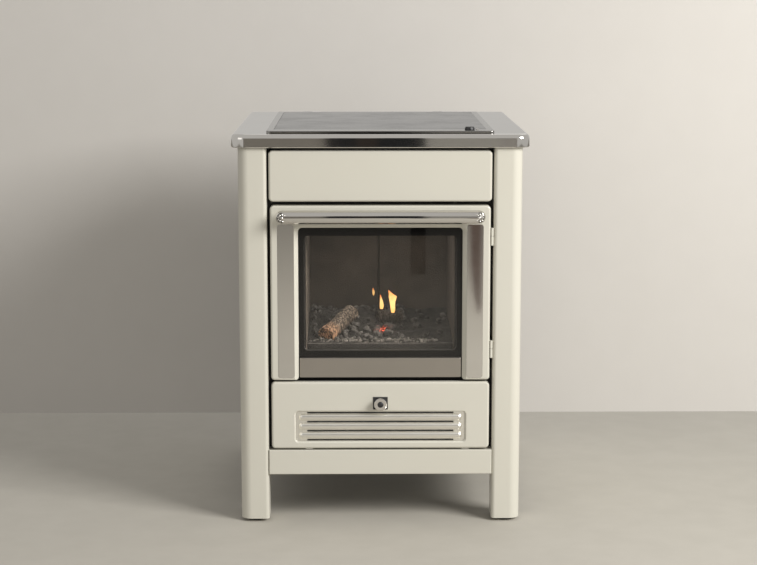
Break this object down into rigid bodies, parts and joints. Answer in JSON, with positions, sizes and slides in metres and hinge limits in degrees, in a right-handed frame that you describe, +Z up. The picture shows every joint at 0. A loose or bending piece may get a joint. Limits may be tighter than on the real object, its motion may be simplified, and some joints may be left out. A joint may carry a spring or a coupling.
{
  "type": "wood cookstove",
  "caption": "Freestanding wood-burning cookstove with a glazed fire door, bar handle, louvred ash drawer, hinged hob plate and rear flue collar on corner posts.",
  "frame": {"origin": "on the floor, under the middle of the stove between the handle's front and the flue collar's end", "axes": "+Z up, -Y towards the front with the fire door, +X to the right of someone facing it"},
  "size_m": [0.6, 0.732, 0.813],
  "materials": {
    "cream_enamel": "semi-gloss enamel",
    "polished_steel": "mirror polished",
    "satin_steel": "satin",
    "stove_paint": "matt heat-resistant",
    "black_plastic": "satin",
    "galvanised_steel": "galvanised",
    "cast_iron": "matt",
    "firebrick": "matt, smoked",
    "fire_glass": "clear ceramic with a dark border",
    "hob_glass": "dark glass-ceramic",
    "glass_rope": "woven",
    "embers": "ashy",
    "charred_wood": "bark, charred"
  },
  "bodies": {
    "stove": {"post_front_right": "cream_enamel", "foot_front_right": "black_plastic", "post_front_left": "cream_enamel", "foot_front_left": "black_plastic", "post_rear_right": "cream_enamel", "foot_rear_right": "black_plastic", "post_rear_left": "cream_enamel", "foot_rear_left": "black_plastic", "top_frame": "polished_steel", "upper_panel": "cream_enamel", "plinth_rail": "cream_enamel", "side_panel_right": "cream_enamel", "side_panel_left": "cream_enamel", "back_panel": "galvanised_steel", "floor_plate": "galvanised_steel", "face_frame": "stove_paint", "firebox_shell": "stove_paint", "firebrick_right": "firebrick", "firebrick_left": "firebrick", "firebrick_back_right": "firebrick", "firebrick_back_left": "firebrick", "baffle_plate": "firebrick", "hearth_plate": "cast_iron", "grate": "cast_iron", "log_guard": "cast_iron", "ember_bed": "embers", "log_front": "charred_wood", "log_rear": "charred_wood", "flue_collar": "stove_paint", "hinge_fixed_lower": "cream_enamel", "hinge_fixed_upper": "cream_enamel", "catch_bracket": "galvanised_steel", "drawer_runner_right": "galvanised_steel", "drawer_runner_left": "galvanised_steel", "hob_hinge_right": "polished_steel", "hob_hinge_left": "polished_steel"},
    "door": {"door_panel": "cream_enamel", "door_liner": "stove_paint", "door_rope": "glass_rope", "door_glass": "fire_glass", "door_bottom_trim": "satin_steel", "door_strip_right": "polished_steel", "door_strip_left": "polished_steel", "handle_bar": "polished_steel", "handle_post_right": "polished_steel", "handle_post_left": "polished_steel", "hinge_leaf_upper": "cream_enamel", "hinge_leaf_lower": "cream_enamel", "door_striker": "galvanised_steel"},
    "catch": {"catch_roller": "galvanised_steel"},
    "drawer": {"drawer_front": "cream_enamel", "louvre_grille": "polished_steel", "ash_box": "galvanised_steel", "knob_plate": "black_plastic"},
    "air_control": {"air_knob": "polished_steel"},
    "shutter": {"air_shutter": "galvanised_steel"},
    "hob": {"hob_frame": "polished_steel", "hob_plate": "hob_glass", "hob_knob": "black_plastic", "hob_stud": "polished_steel"}
  },
  "joints": [
    {"name": "door_hinge", "type": "hinge", "parent": "stove", "child": "door", "pos_m": [0.2255, -0.3295, 0.477], "axis": [0, 0, 1], "range_deg": [0, 100]},
    {"name": "catch_roller_spin", "type": "hinge", "parent": "stove", "child": "catch", "pos_m": [-0.1913, -0.2902, 0.472], "axis": [0, 0, 1], "continuous": true},
    {"name": "drawer_slide", "type": "slide", "parent": "stove", "child": "drawer", "axis": [0, -1, 0], "range_m": [0, 0.3]},
    {"name": "air_knob_turn", "type": "hinge", "parent": "drawer", "child": "air_control", "pos_m": [0, -0.332, 0.25], "axis": [0, -1, 0], "range_deg": [0, 30]},
    {"name": "shutter_lift", "type": "slide", "parent": "drawer", "child": "shutter", "axis": [0, 0, 1], "range_m": [0, 0.0073]},
    {"name": "hob_hinge", "type": "hinge", "parent": "stove", "child": "hob", "pos_m": [0, 0.2533, 0.8033], "axis": [-1, 0, 0], "range_deg": [0, 70]}
  ],
  "couplings": [
    {"joint": "air_knob_turn", "follows": "shutter_lift", "rad_per_m": 71.428}
  ]
}
